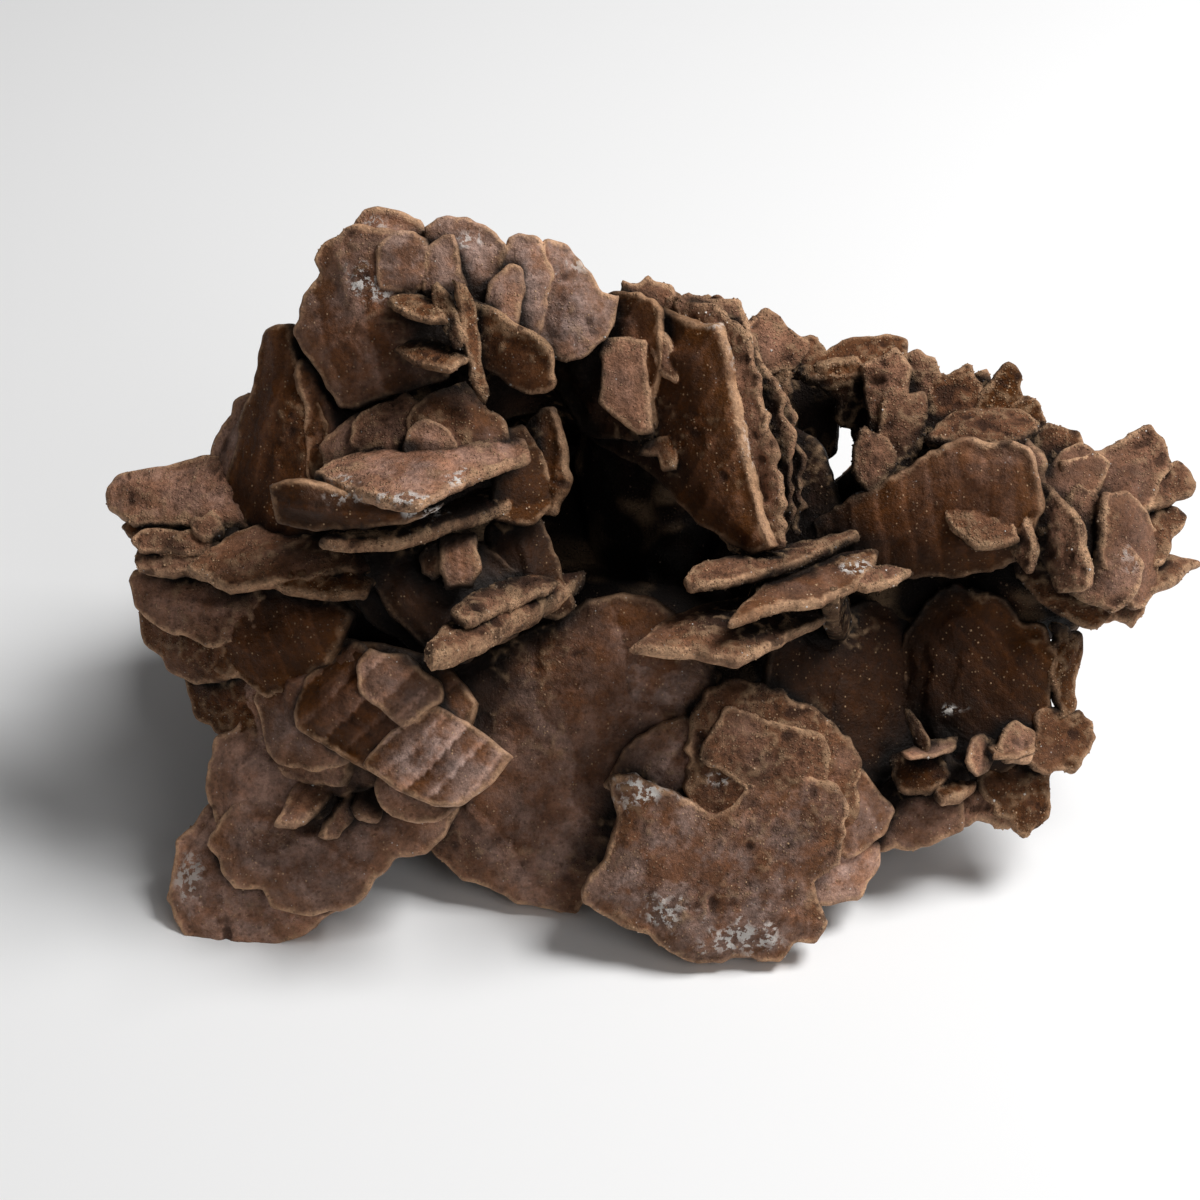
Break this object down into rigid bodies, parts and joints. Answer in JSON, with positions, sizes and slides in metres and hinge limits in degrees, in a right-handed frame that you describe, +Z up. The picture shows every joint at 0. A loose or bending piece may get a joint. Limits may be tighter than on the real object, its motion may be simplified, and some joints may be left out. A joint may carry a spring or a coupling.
{
  "type": "gypsum sand rose",
  "caption": "Brown gypsum sand rose: a cluster of flat, rounded crystal blades grown through each other, resting on its worn tips.",
  "frame": {"origin": "centre of the rose's box, on the surface it rests on", "axes": "+Z up, -Y towards the side with the large front blades, +X towards the spray of small blades"},
  "size_m": [0.1506, 0.0974, 0.0853],
  "materials": {
    "sandy_gypsum": "satin"
  },
  "bodies": {
    "root": {"sand_rose": "sandy_gypsum"}
  },
  "joints": []
}
